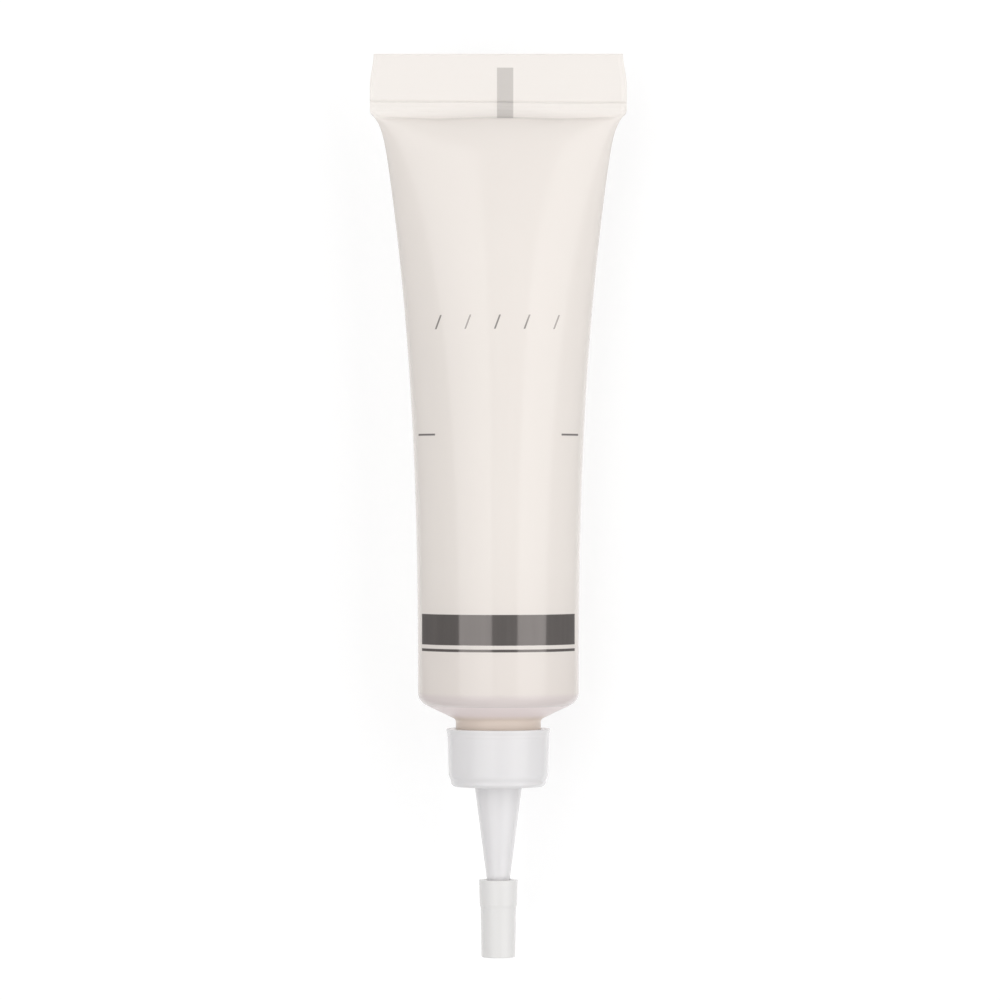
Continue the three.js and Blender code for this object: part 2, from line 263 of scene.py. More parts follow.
class Finishes(PropertyGroup):
    """Colours and gloss of the tube's materials."""

    film: colour("Film", "Milky film over the paste", (0.965, 0.908, 0.86))
    # Painted shade: the shoulder and corner tones make the film darker towards the head and round the
    # shoulder corner, where it turns away from the lamps. Over the rim and the corner the head lies behind
    # the film as well.
    shoulder: colour("Shoulder", "Milky film over the head's rim", (0.91, 0.845, 0.80))
    corner: colour("Corner", "Milky film stretched over the shoulder corner", (0.85, 0.772, 0.755))
    weld: colour("Weld", "Milky film where it is welded to itself", (0.98, 0.935, 0.895))
    # The ink's colour also darkens the pressed line on the weld, as painted shade.
    ink: colour("Ink", "Printed lines", (0.17, 0.154, 0.148))
    paste: colour("Paste", "Warm white paste", (0.90, 0.83, 0.76))
    cone: colour("Cone", "Milky shoulder cone of the head", (0.85, 0.757, 0.746))
    # The neck's tone is yellower for the paste behind it, and darker as painted shade between the cone and
    # the collar.
    neck: colour("Neck", "Milky neck of the head, round the paste", (0.785, 0.688, 0.612))
    nozzle: colour("Nozzle", "White moulded nozzle", (0.80, 0.787, 0.793))
    cap: colour("Cap", "White moulded tip cap", (0.80, 0.79, 0.78))
    film_cover: share("Film cover", "How much of what lies behind it the film hides", 0.82)
    corner_fade: length("Corner fade", "How fast the film's tone changes round the shoulder corner", 0.5 * MM)
    head_shade: length("Head shade", "How far above the shoulder the film looks a little darker", 14 * MM)
    neck_rise: length("Neck rise", "How far the neck's tone runs up the cone", 0.35 * MM)
    neck_fade: length("Neck fade", "Length over which the neck's tone turns into the cone's", 0.5 * MM)
    crease_shade: share("Crease shade", "How dark the pressed line on the weld looks", 0.1)
    ink_wear: share("Ink wear", "How unevenly the ink covers", 0.04)
    ink_metal: share("Ink metal", "How metallic the ink looks", 0.4)
    film_roughness: share("Film roughness", "Roughness of the glossy film", 0.08)
    head_roughness: share("Head roughness", "Roughness of the moulded head", 0.3)
    nozzle_roughness: share("Nozzle roughness", "Roughness of the nozzle", 0.16)
    cap_roughness: share("Cap roughness", "Roughness of the tip cap", 0.22)
    paste_roughness: share("Paste roughness", "Roughness of the paste", 0.45)
    film_ior: share("Film index", "Index of refraction of the film", 1.37)
    mould_ior: share("Mould index", "Index of refraction of the moulded plastic", 1.34)
    fine_grain: length("Fine grain", "Height of the grain on the film, the nozzle and the cap", 0.0004 * MM)
    head_grain: length("Head grain", "Height of the grain on the head", 0.0006 * MM)
    paste_grain: length("Paste grain", "Height of the lumps in the paste", 0.05 * MM)


class StageSizes(PropertyGroup):
    """Camera, lamps and table."""

    camera_height: length("Camera height", "Height of the camera above the tube's axis", 0.594)
    camera_x: length("Camera x", "Sideways place of the camera", 0.19 * MM)
    camera_y: length("Camera y", "Lengthways place of the camera", 0.63 * MM)
    picture_width: length("Picture width", "What the picture spans in the plane of the axis", 114.06 * MM)
    table_size: length("Table size", "Length of the table's sides", 6.0)
    table_drop: length("Table drop", "How far the table lies under the tube, to share no face", 0.01 * MM)
    table_glow: share("Table glow", "The part of the shown table that is plain white", 0.74)
    table_shade: share("Table shade", "The part of the shown table that takes shadows", 0.3)
    table_bounce: share("Table bounce", "How much light the table throws back on the tube", 0.92)
    table_mirror: share("Table mirror", "How light the mirrored table is beyond the board", 0.15)
    board_half: length("Board", "Half width of the part of the table that the tube mirrors as white", 17 * MM)
    board_fade: length("Board fade", "Length over which the mirrored white ends", 8 * MM)
    lamp_distance: length("Lamp distance", "Distance of the soft lamps from the tube", 0.9)
    lamp_length: length("Lamp length", "Length of the soft lamps along the tube", 1.8)
    lamp_shift: length("Lamp shift", "How far the soft lamps stand towards the tail", 0.1)
    lamp_level: share("Lamp level", "Brightness of the soft lamps, where 1 is white", 1.62)
    left_outer: degrees("Left lamp, outer", "Outer edge of the left lamp, from upright", -57)
    left_inner: degrees("Left lamp, inner", "Inner edge of the left lamp, from upright", -9)
    right_inner: degrees("Right lamp, inner", "Inner edge of the right lamp, from upright", 27)
    right_outer: degrees("Right lamp, outer", "Outer edge of the right lamp, from upright", 71)
    sky_level: share("Sky level", "Brightness of the light from all round, where 1 is white", 0.13)
    sky_tilt: share("Sky tilt", "How much brighter that light is on the right, and darker on the left", 0.05)
    sky_ends: share("Sky ends", "How much brighter that light is beyond the tube's two ends", 0.5)


class TubeSettings(PropertyGroup):
    """All the sizes and colours of the tube."""

    sleeve: PointerProperty(type=SleeveSizes)
    head: PointerProperty(type=HeadSizes)
    paste: PointerProperty(type=PasteSizes)
    nozzle: PointerProperty(type=NozzleSizes)
    cap: PointerProperty(type=CapSizes)
    print_: PointerProperty(type=PrintSizes)
    finishes: PointerProperty(type=Finishes)
    stage: PointerProperty(type=StageSizes)


# Shapes


def lerp(start, end, amount):
    return start + (end - start) * amount


def clamp(value):
    return min(1.0, max(0.0, value))


def smooth_step(low, high, value):
    amount = clamp((value - low) / (high - low))
    return amount * amount * (3 - 2 * amount)


def spaced(start, end, count):
    """Equal steps from start to end, both included."""
    return [lerp(start, end, index / count) for index in range(count + 1)]


def eased(start, end, count, power):
    """Steps from start to end that get closer together towards the end."""
    return [lerp(end, start, (1 - index / count) ** power) for index in range(count + 1)]


def strip_faces(first, second, first_count, second_count):
    """Faces between two rings of points, either of which may be a single pole."""
    sides = max(first_count, second_count)
    faces = []
    for index in range(sides):
        after = (index + 1) % sides
        near = [first] if first_count == 1 else [first + index, first + after]
        far = [second] if second_count == 1 else [second + after, second + index]
        faces.append(near + far)
    return faces


def slit_faces(start, count):
    """Faces that close a flattened ring, from each upper point to the lower one under it."""
    faces = []
    for index in range(count // 2):
        upper = [start + index, start + index + 1]
        lower = [start + count - index - 1, start + (count - index) % count]
        faces.append(list(dict.fromkeys(upper + lower)))
    return faces


def skin(name, rings, looped=False, sharp_angle=40.0):
    """A closed mesh over rings of points. Poles close it, a loop joins its ends, and slits close the rest."""
    points = []
    starts = []
    for ring in rings:
        starts.append(len(points))
        points.extend(ring)
    faces = []
    for low, high in zip(range(len(rings) - 1), range(1, len(rings))):
        faces.extend(strip_faces(starts[low], starts[high], len(rings[low]), len(rings[high])))
    if looped:
        faces.extend(strip_faces(starts[-1], starts[0], len(rings[-1]), len(rings[0])))
    else:
        for end in (0, -1):
            if len(rings[end]) > 1:
                faces.extend(slit_faces(starts[end], len(rings[end])))
    mesh = bpy.data.meshes.new(name)
    mesh.from_pydata(points, [], faces)
    work = bmesh.new()
    work.from_mesh(mesh)
    bmesh.ops.recalc_face_normals(work, faces=work.faces)
    work.to_mesh(mesh)
    work.free()
    mesh.shade_smooth()
    mesh.set_sharp_from_angle(angle=math.radians(sharp_angle))
    piece = bpy.data.objects.new(name, mesh)
    bpy.context.scene.collection.objects.link(piece)
    return piece


def rounded(corners):
    """An outline of (radius, y, rounding) corners as points, with each rounding as a short curve."""
    outline = []
    for index, (radius, y, rounding) in enumerate(corners):
        here = Vector((radius, y))
        if rounding == 0:
            outline.append(here)
            continue
        before = Vector(corners[index - 1][:2]) - here
        after = Vector(corners[(index + 1) % len(corners)][:2]) - here
        reach = min(rounding, 0.45 * before.length, 0.45 * after.length)
        start = here + reach * before.normalized()
        end = here + reach * after.normalized()
        for amount in spaced(0, 1, CURVE_STEPS):
            outline.append(start.lerp(here, amount).lerp(here.lerp(end, amount), amount))
    return outline


def turned_rings(outline, sides, relief=None, floor=0.0):
    """Rings of a turned outline about the tube's axis, pressed flat at a floor that they would reach below.

    Relief adds to the radius at a place on the surface.
    """
    rings = []
    for radius, y in outline:
        if radius == 0:
            rings.append([(0.0, y, AXIS_HEIGHT)])
            continue
        ring = []
        for index in range(sides):
            angle = 2 * math.pi * index / sides
            reach = radius + (relief(radius, y, angle) if relief else 0.0)
            ring.append((reach * math.cos(angle), y, max(floor, AXIS_HEIGHT + reach * math.sin(angle))))
        rings.append(ring)
    return rings


def thread_relief(root, low, high, pitch, height):
    """Relief of a screw thread that winds along part of a round surface and fades out at its ends."""

    def relief(radius, y, angle):
        if abs(radius - root) > 0.001 * MM or not low <= y <= high:
            return 0.0
        turn = (y - low) / pitch - angle / (2 * math.pi)
        from_crest = abs(turn - math.floor(turn) - 0.5)
        crest = smooth_step(THREAD_FOOT, THREAD_CREST, from_crest)
        fade = smooth_step(0, pitch / 2, y - low) * smooth_step(0, pitch / 2, high - y)
        return height * crest * fade

    return relief


# The pressed sleeve


def shoulder_y(sizes):
    """Where the straight film meets the shoulder corner."""
    return SLEEVE_LOW.y + sizes.corner * math.cos(sizes.cone_angle)


def weld_foot_y(sizes):
    """Where the film meets the welded strip."""
    return SLEEVE_HIGH.y - sizes.weld_length


def corner_points(sizes, under):
    """The shoulder corner from the cone up to the straight film, some depth under the film's outside."""
    sweep = math.pi / 2 - sizes.cone_angle
    radius = sizes.corner - under
    centre = sizes.radius - sizes.corner
    y = shoulder_y(sizes)
    angles = spaced(sweep, 0, 2 * CURVE_STEPS)
    return [Vector((centre + radius * math.cos(angle), y - radius * math.sin(angle))) for angle in angles]


def pressed_section(sizes, y):
    """Half width and half depths of the film's outside, and the power of its underside."""
    run = clamp((y - shoulder_y(sizes)) / (weld_foot_y(sizes) - shoulder_y(sizes)))
    spread = lerp(run ** sizes.spread_power, run ** sizes.flare_power, sizes.flare_share)
    foot_side = SLEEVE_HIGH.x - sizes.weld_lip
    foot_depth = sizes.foot_opening + sizes.wall
    side = lerp(sizes.radius, foot_side, spread)
    top = lerp(foot_depth, sizes.radius, math.sqrt(1 - run ** sizes.spread_power))
    belly = lerp(foot_depth, sizes.radius, math.sqrt(1 - run ** sizes.belly_power))
    power = lerp(ROUND_POWER, sizes.squareness, smooth_step(0, sizes.settle, y - shoulder_y(sizes)))
    return side, top, belly, power


def weld_side(sizes, y):
    """Half width of the welded strip: round lower corners, drawn in at the tail's edge."""
    foot = weld_foot_y(sizes)
    corner = sizes.weld_corner * (1 - math.sqrt(clamp((y - foot) / sizes.weld_corner))) ** 2
    inset = sizes.end_inset * smooth_step(foot + sizes.end_start, SLEEVE_HIGH.y, y)
    return max(SLEEVE_HIGH.x - sizes.weld_lip, SLEEVE_HIGH.x - corner) - inset


def weld_depth(sizes, y, x, side):
    """Half thickness of the welded strip, with its fine ribs, pressed lines and folds."""
    height = y - weld_foot_y(sizes)
    rib = 0.5 - 0.5 * math.cos(2 * math.pi * height / sizes.rib_pitch)
    crimp = 0.0
    for place, depth in PRESSED_LINES:
        from_line = height - place * sizes.crimp_height + sizes.crimp_tilt * x
        crimp += depth * math.exp(-((from_line / (0.5 * sizes.crimp_width)) ** 2))
    fold = math.exp(-((side - abs(x) - sizes.fold_inset) / sizes.fold_width) ** 2)
    edge = smooth_step(0, sizes.edge_length, SLEEVE_HIGH.y - y)
    dips = sizes.rib_depth * rib + sizes.crimp_depth * crimp + sizes.fold_depth * fold
    return 0.5 * sizes.weld_thickness * lerp(sizes.edge_share, 1, edge) - dips


def rise_under(across, power):
    """Height of a rounded outline over its width, from 1 in the middle to 0 at the sides."""
    return max(0.0, 1 - abs(across) ** power) ** (1 / power)


def film_ring(sizes, y, under):
    """A ring of the pressed film, some depth under its outside."""
    side, top, belly, power = pressed_section(sizes, y)
    foot = weld_foot_y(sizes)
    if y > foot:
        side = weld_side(sizes, y)
    pressed = smooth_step(foot - 0.5 * sizes.foot_slope, foot + 0.5 * sizes.foot_slope, y)
    wave = smooth_step(foot - sizes.wave_reach, foot, y) * smooth_step(foot + sizes.crimp_height, foot, y)
    ring = []
    for index in range(FILM_SIDES):
        angle = 2 * math.pi * index / FILM_SIDES
        across = math.cos(angle)
        x = across * (side - under)
        upper = angle <= math.pi
        depth = (top if upper else belly) - under
        height = depth * rise_under(across, ROUND_POWER if upper else power)
        if under == 0 and pressed > 0:
            flat = weld_depth(sizes, y, x, side) * rise_under(across, sizes.weld_squareness)
            height = lerp(height, flat, pressed)
        z = AXIS_HEIGHT + (height if upper else -height)
        dip = sizes.foot_wave * wave * math.sin(math.pi * across) ** 2
        ring.append((x, y - dip, max(z, under)))
    return ring


def sleeve_rings(sizes):
    """Rings from the tail's edge down the outside to the cone, and back up the inside to the weld."""
    foot = weld_foot_y(sizes)
    weld_steps = math.ceil(ROWS_PER_RIB * sizes.weld_length / sizes.rib_pitch)
    weld = spaced(SLEEVE_HIGH.y, foot + 0.02 * MM, weld_steps)
    body = eased(shoulder_y(sizes), foot, FILM_ROWS, 2)
    outside = [film_ring(sizes, y, 0.0) for y in weld]
    outside += [film_ring(sizes, y, 0.0) for y in reversed(body)]
    corner = corner_points(sizes, 0.0)[:-1]
    outside += turned_rings(reversed(corner), FILM_SIDES)
    inner_corner = corner_points(sizes, sizes.wall)[:-1]
    inside = turned_rings(inner_corner, FILM_SIDES, floor=sizes.wall)
    inside += [film_ring(sizes, y, sizes.wall) for y in eased(shoulder_y(sizes), foot, LINING_ROWS, 2)]
    return outside + inside


def cone_y(sizes, radius, under):
    """Where the shoulder cone's outside, or a surface some depth under it, has a radius."""
    start = corner_points(sizes, 0.0)[0]
    return start.y - (start.x - radius) * math.tan(sizes.cone_angle) + under / math.cos(sizes.cone_angle)


def head_rings(sizes, sleeve):
    """The head from its bore, round the threaded neck and up the cone, to the rim and back inside."""
    seat = sleeve.wall + sizes.seat_gap
    rim_radius = sleeve.radius - seat
    rim_top = shoulder_y(sleeve) + sizes.rim_height
    rim_bore = rim_radius - sizes.rim_wall
    root = sizes.neck_radius - sizes.thread_depth
    mouth = HEAD_LOW.y
    neck_foot = NOZZLE_HIGH.y - sizes.neck_covered
    thread_top = neck_foot - sizes.thread_end
    thread_low = mouth + sizes.thread_start
    step = corner_points(sleeve, 0.0)[0]
    slope = Vector((-math.cos(sleeve.cone_angle), -math.sin(sleeve.cone_angle)))
    step_out = step + sizes.seat_gap * slope
    step_in = corner_points(sleeve, seat)[0] + sizes.seat_gap * slope
    thread_rows = [(root, y, 0) for y in spaced(thread_low, thread_top, THREAD_ROWS)]
    corners = [
        (sizes.bore, cone_y(sleeve, sizes.bore, sizes.wall), 0.3 * MM),
        (sizes.bore, mouth, 0.15 * MM),
        (root, mouth, 0.2 * MM),
        *thread_rows,
        (root, neck_foot, 0.05 * MM),
        (sizes.neck_radius, neck_foot, 0.1 * MM),
        (sizes.neck_radius, cone_y(sleeve, sizes.neck_radius, 0.0), 0.35 * MM),
        (step_out.x, step_out.y, 0.04 * MM),
        (step_in.x, step_in.y, 0),
        *[(point.x, point.y, 0) for point in corner_points(sleeve, seat)[1:]],
        (rim_radius, rim_top, 0.15 * MM),
        (rim_bore, rim_top, 0.15 * MM),
        (rim_bore, cone_y(sleeve, rim_bore, sizes.wall), 0.3 * MM),
    ]
    relief = thread_relief(root, thread_low, thread_top, sizes.thread_pitch, sizes.thread_height)
    return turned_rings(rounded(corners), TURNED_SIDES, relief, floor=seat)


def paste_rings(sizes, sleeve, head):
    """The paste from the neck's mouth, through the cone, up the film to its blunt end under the weld."""
    under = sleeve.wall + sizes.gap
    plug = head.bore - sizes.gap
    inside_rim = sleeve.radius - sleeve.wall - head.seat_gap - head.rim_wall - sizes.gap
    over_rim = shoulder_y(sleeve) + head.rim_height + sizes.gap
    cone = head.wall + sizes.gap
    mouth = PASTE_LOW.y
    corners = [
        *[(across * plug, mouth + depth * sizes.dimple, 0) for across, depth in DIMPLE_OUTLINE],
        (plug, cone_y(sleeve, plug, cone), 0),
        (inside_rim, cone_y(sleeve, inside_rim, cone), sizes.rim_round),
        (inside_rim, over_rim, 0),
    ]
    rings = turned_rings(rounded(corners), FILM_SIDES)
    end = PASTE_HIGH.y
    rings += [film_ring(sleeve, y, under) for y in eased(over_rim, end - sizes.front_round, PASTE_ROWS, 1.5)]
    for amount in spaced(0, 1, CURVE_STEPS)[1:]:
        y = end - sizes.front_round * (1 - math.sin(0.5 * math.pi * amount))
        inset = sizes.front_round * (1 - math.cos(0.5 * math.pi * amount))
        rings.append(film_ring(sleeve, y, under + inset))
    return rings


def nozzle_rings(sizes, head):
    """The nozzle from the collar's floor, through the spout, up the outside and back down the thread."""
    top = NOZZLE_HIGH.y
    foot = top - sizes.collar_height
    floor = foot + sizes.floor
    lip = NOZZLE_HIGH.x
    mouth = head.neck_radius + sizes.mouth_gap
    drawn = sizes.collar_radius - sizes.draft
    foot_radius = drawn - sizes.foot_step
    foot_top = foot + sizes.foot_height
    thread_top = top - head.neck_covered - sizes.thread_end
    thread_low = floor + sizes.thread_start
    line = top - sizes.line_place
    half = 0.5 * sizes.line_width
    thread_rows = [(sizes.collar_bore, y, 0) for y in spaced(thread_top, thread_low, THREAD_ROWS)]
    corners = [
        (sizes.collar_bore, floor, 0.2 * MM),
        (sizes.base_bore, floor, 0.2 * MM),
        (sizes.tip_bore, NOZZLE_LOW.y, 0.06 * MM),
        (sizes.spout_tip, NOZZLE_LOW.y, 0.12 * MM),
        (sizes.spout_base, foot, 0.35 * MM),
        (foot_radius - sizes.chamfer, foot, sizes.edge),
        (foot_radius, foot + sizes.chamfer, sizes.edge),
        (foot_radius, foot_top, 0.3 * MM),
        (drawn, foot_top + sizes.foot_slant, 0.3 * MM),
        (sizes.collar_radius - sizes.line_depth, line - half, 0.05 * MM),
        (sizes.collar_radius, line + half, 0.05 * MM),
        (sizes.collar_radius, top - sizes.lip_height - sizes.lip_slant, 0.2 * MM),
        (lip, top - sizes.lip_height, 0.1 * MM),
        (lip, top, 0.05 * MM),
        (mouth, top, 0.08 * MM),
        (mouth, top - sizes.mouth_height, 0.05 * MM),
        (sizes.collar_bore, top - sizes.mouth_height - sizes.mouth_slant, 0.05 * MM),
        *thread_rows,
    ]
    relief = thread_relief(sizes.collar_bore, thread_low, thread_top, head.thread_pitch, -sizes.thread_height)
    return turned_rings(rounded(corners), TURNED_SIDES, relief)


def cap_rings(sizes, nozzle):
    """The cap from the dimple in its closed end, up the outside and down the socket."""
    mouth = CAP_HIGH.y
    end = CAP_LOW.y
    ring = CAP_HIGH.x
    ring_foot = mouth - sizes.ring_height
    spout_foot = NOZZLE_HIGH.y - nozzle.collar_height
    tip = NOZZLE_LOW.y
    at_mouth = lerp(nozzle.spout_tip, nozzle.spout_base, (mouth - tip) / (spout_foot - tip))
    socket_end = tip - sizes.floor_gap
    end_radius = sizes.radius - sizes.draft
    corners = [
        (0, end + sizes.gate_depth, 0),
        (sizes.gate_floor, end + sizes.gate_depth, 0.08 * MM),
        (sizes.gate, end, 0.06 * MM),
        (end_radius, end, sizes.edge),
        (sizes.radius, ring_foot - sizes.ring_slant, 0.15 * MM),
        (ring - sizes.ring_draft, ring_foot, 0.15 * MM),
        (ring, mouth, 0.08 * MM),
        (at_mouth + sizes.clearance + sizes.lead_width, mouth, 0.08 * MM),
        (at_mouth + sizes.clearance, mouth - sizes.lead_depth, 0.1 * MM),
        (nozzle.spout_tip + sizes.clearance, tip, 0.2 * MM),
        (nozzle.spout_tip + sizes.clearance, socket_end, 0.15 * MM),
        (0, socket_end, 0),
    ]
    return turned_rings(rounded(corners), TURNED_SIDES)


# Finishes


class Field:
    """A socket that varies over a surface. Python's operators on it add the nodes that do the sum."""

    VALUE_WORDS = {"+": "ADD", "-": "SUBTRACT", "*": "MULTIPLY", "/": "DIVIDE", ">": "GREATER_THAN"}

    def __init__(self, finish, socket):
        self.finish = finish
        self.socket = socket

    def other(self, output):
        """Another output of the same node."""
        return Field(self.finish, self.socket.node.outputs[output])

    def is_value(self):
        return self.socket.type == "VALUE"

    def join(self, sign, first, second):
        fields = [part for part in (first, second) if isinstance(part, Field)]
        kind = "ShaderNodeMath" if all(part.is_value() for part in fields) else "ShaderNodeVectorMath"
        return self.finish.node(kind, {"operation": self.VALUE_WORDS[sign]}, {0: first, 1: second})

    def math(self, operation, *others):
        """A value through any other operation of the Math node."""
        return self.finish.node(
            "ShaderNodeMath", {"operation": operation}, dict(enumerate((self, *others)))
        )

    def limited(self):
        """The value held between 0 and 1."""
        return self.finish.node("ShaderNodeClamp", {}, {"Value": self})

    def __add__(self, other):
        return self.join("+", self, other)

    def __radd__(self, other):
        return self.join("+", other, self)

    def __sub__(self, other):
        return self.join("-", self, other)

    def __rsub__(self, other):
        return self.join("-", other, self)

    def __mul__(self, other):
        return self.join("*", self, other)

    def __rmul__(self, other):
        return self.join("*", other, self)

    def __truediv__(self, other):
        return self.join("/", self, other)

    def __rtruediv__(self, other):
        return self.join("/", other, self)

    def __gt__(self, other):
        return self.join(">", self, other)


class Finish:
    """A material or a sky in the making, with one way to add any node."""

    def __init__(self, owner, shader="Principled BSDF"):
        owner.use_nodes = True
        self.owner = owner
        self.tree = owner.node_tree
        self.shader = self.tree.nodes[shader]

    def node(self, kind, settings, inputs, output=0):
        """Adds a node, sets it up, feeds its sockets with values or fields, and returns one output."""
        made = self.tree.nodes.new(kind)
        for key, value in settings.items():
            setattr(made, key, value)
        for key, value in inputs.items():
            self.feed(made.inputs[key], value)
        return Field(self, made.outputs[output])

    def feed(self, socket, value):
        if isinstance(value, Field):
            self.tree.links.new(value.socket, socket)
        elif socket.type == "RGBA" and len(value) == 3:
            socket.default_value = (*value, 1.0)
        elif socket.type == "VECTOR" and isinstance(value, (int, float)):
            socket.default_value = (value, value, value)
        else:
            socket.default_value = value

    def set(self, **inputs):
        """Feeds the shader. Underscores in a name stand for spaces."""
        for name, value in inputs.items():
            self.feed(self.shader.inputs[name.replace("_", " ")], value)

    def place(self):
        """Where a point lies on the piece, in metres."""
        return self.node("ShaderNodeTexCoord", {}, {}, "Object")

    def noise(self, place, scale, detail=2.0):
        """Soft noise with about this many lumps to the metre."""
        inputs = {"Vector": place, "Scale": scale, "Detail": detail}
        return self.node("ShaderNodeTexNoise", {"noise_dimensions": "3D"}, inputs)

    def mix(self, first, second, amount):
        """One colour over another."""
        return self.node("ShaderNodeMix", {"data_type": "RGBA"}, {0: amount, 6: first, 7: second}, 2)

    def tinted(self, tone, field, depth):
        """A colour that grows a little lighter and darker with a field from 0 to 1."""
        light = [min(1.0, part * (1 + depth)) for part in tone]
        dark = [part * (1 - depth) for part in tone]
        return self.mix(dark, light, field)

    def bump(self, height, distance):
        """A fine relief of the surface. A field of 1 stands this far out."""
        return self.node("ShaderNodeBump", {}, {"Height": height, "Distance": distance}, "Normal")


def between(value, low, high, softness):
    """1 where a field lies between two limits and 0 outside, with soft edges."""
    rise = ((value - low) / softness + 0.5).limited()
    fall = ((high - value) / softness + 0.5).limited()
    return rise * fall


def print_cover(sizes, x, y, z):
    """How much ink covers the film: the band, the line, the dashes, the strokes and the register mark."""
    soft = sizes.softness
    wide = x.math("ABSOLUTE")
    in_width = between(wide, -1.0, sizes.half_width, soft)
    band = between(y, sizes.band_low, sizes.band_high, soft) * in_width
    line = between(y, sizes.line_low, sizes.line_high, soft) * in_width
    dash_low = sizes.dash_place - 0.5 * sizes.dash_width
    dash_high = sizes.dash_place + 0.5 * sizes.dash_width
    dash = between(y, dash_low, dash_high, soft) * between(wide, sizes.dash_inner, sizes.dash_outer, soft)
    from_row = y - sizes.stroke_place
    along = (x - sizes.stroke_shift - sizes.stroke_slant * from_row) / sizes.stroke_pitch
    from_stroke = (along - along.math("ROUND")).math("ABSOLUTE") * sizes.stroke_pitch
    in_row = between(from_row.math("ABSOLUTE"), -1.0, 0.5 * sizes.stroke_height, soft)
    in_count = 0.5 * sizes.stroke_count - along.math("ABSOLUTE") > 0.0
    stroke = between(from_stroke, -1.0, 0.5 * sizes.stroke_width, soft) * in_row * in_count
    across_mark = between(x, sizes.mark_left, sizes.mark_right, soft)
    mark = between(y, sizes.mark_low, sizes.mark_high, soft) * across_mark
    front = z > AXIS_HEIGHT
    lines = band + line + sizes.dash_cover * dash + sizes.stroke_cover * stroke
    return front * lines.limited(), front * mark


def film_finish(colours, sizes, sleeve):
    """Milky film, glossy, whiter at the weld, with plain printed lines on its front, and painted shade:
    darker near the head, round the shoulder corner and in the pressed line on the weld.
    """
    finish = Finish(bpy.data.materials.new("sleeve_film"))
    place = finish.place()
    split = finish.node("ShaderNodeSeparateXYZ", {}, {"Vector": place})
    x, y, z = split, split.other("Y"), split.other("Z")
    ink, mark = print_cover(sizes, x, y, z)
    cloud = finish.noise(place, FILM_CLOUD)
    stretched = finish.node(
        "ShaderNodeMapping", {"vector_type": "POINT"}, {"Vector": place, "Scale": (1.0, 0.06, 1.0)}
    )
    drawn = finish.noise(stretched, FILM_DRAWING, 3.0)
    foot = weld_foot_y(sleeve)
    welded = between(y, foot, SLEEVE_HIGH.y + MM, sleeve.foot_slope)
    # Painted shade: the pressed line on the weld is darkened towards the ink's colour, and the film is also
    # pressed thinner there.
    from_crimp = (y - (foot + sleeve.crimp_height) + sleeve.crimp_tilt * x).math("ABSOLUTE")
    crease = between(from_crimp, -1.0, 0.3 * sleeve.crimp_width, 0.3 * sleeve.crimp_width)
    # Painted shade: darker towards the head, and darker still round the shoulder corner, where the film turns
    # away from the lamps and the head lies behind it.
    head_shade_share = (1 - (y - shoulder_y(sleeve)) / colours.head_shade).limited()
    milky = finish.mix(finish.tinted(colours.film, cloud, 0.012), colours.shoulder, head_shade_share)
    corner_shade_share = ((shoulder_y(sleeve) - y) / colours.corner_fade).limited()
    milky = finish.mix(milky, colours.corner, corner_shade_share)
    milky = finish.mix(milky, colours.weld, welded)
    worn_ink = ink * (1 - colours.ink_wear + colours.ink_wear * drawn)
    shaded = sizes.mark_cover * mark + colours.crease_shade * crease + worn_ink
    # This mix holds the print and the painted shade of the pressed line.
    printed = finish.mix(milky, colours.ink, shaded)
    cover = ink + (1 - ink) * (colours.film_cover + 0.03 * cloud)
    finish.set(
        Base_Color=printed,
        Roughness=colours.film_roughness + 0.05 * drawn,
        Metallic=colours.ink_metal * ink,
        IOR=colours.film_ior,
        Alpha=cover,
        Normal=finish.bump(drawn, colours.fine_grain),
    )
    return finish.owner


def mould(finish, place, tone, roughness, ior, grain):
    """Feeds a shader as moulded plastic: satin, with the faint skin of the mould."""
    skin_grain = finish.noise(place, MOULD_SKIN, 3.0)
    finish.set(
        Base_Color=tone,
        Roughness=roughness + 0.08 * skin_grain,
        IOR=ior,
        Subsurface_Weight=0.12,
        Subsurface_Radius=(1.0, 0.95, 0.9),
        Subsurface_Scale=0.6 * MM,
        Normal=finish.bump(skin_grain, grain),
    )


def moulded_finish(name, colours, tone, roughness):
    """White moulded plastic, a little uneven in tone."""
    finish = Finish(bpy.data.materials.new(name))
    place = finish.place()
    cloud = finish.noise(place, MOULD_CLOUD)
    mould(finish, place, finish.tinted(tone, cloud, 0.012), roughness, colours.mould_ior, colours.fine_grain)
    return finish.owner


def head_finish(colours, sleeve, head):
    """Milky moulded plastic, yellower and darker on the neck, where the paste lies close behind it and where
    painted shade stands for the shade between the cone and the collar.
    """
    finish = Finish(bpy.data.materials.new("head_plastic"))
    place = finish.place()
    cloud = finish.noise(place, MOULD_CLOUD)
    y = finish.node("ShaderNodeSeparateXYZ", {}, {"Vector": place}, "Y")
    cone_foot = cone_y(sleeve, head.neck_radius, 0.0)
    on_cone = between(y, cone_foot + colours.neck_rise, SLEEVE_HIGH.y, colours.neck_fade)
    # Painted shade: the neck's tone is darker for the shade between the cone and the collar, besides the
    # paste behind it.
    neck = finish.tinted(colours.neck, cloud, 0.02)
    cone = finish.tinted(colours.cone, cloud, 0.02)
    tone = finish.mix(neck, cone, on_cone)
    mould(finish, place, tone, colours.head_roughness, colours.mould_ior, colours.head_grain)
    return finish.owner


def paste_finish(colours):
    """Smooth warm white paste with slow lumps."""
    finish = Finish(bpy.data.materials.new("paste"))
    place = finish.place()
    lumps = finish.noise(place, PASTE_LUMPS, 4.0)
    finish.set(
        Base_Color=finish.tinted(colours.paste, finish.noise(place, PASTE_CLOUD), 0.02),
        Roughness=colours.paste_roughness + 0.1 * lumps,
        Subsurface_Weight=0.2,
        Subsurface_Radius=(1.0, 0.8, 0.6),
        Subsurface_Scale=0.8 * MM,
        Normal=finish.bump(lumps, colours.paste_grain),
    )
    return finish.owner


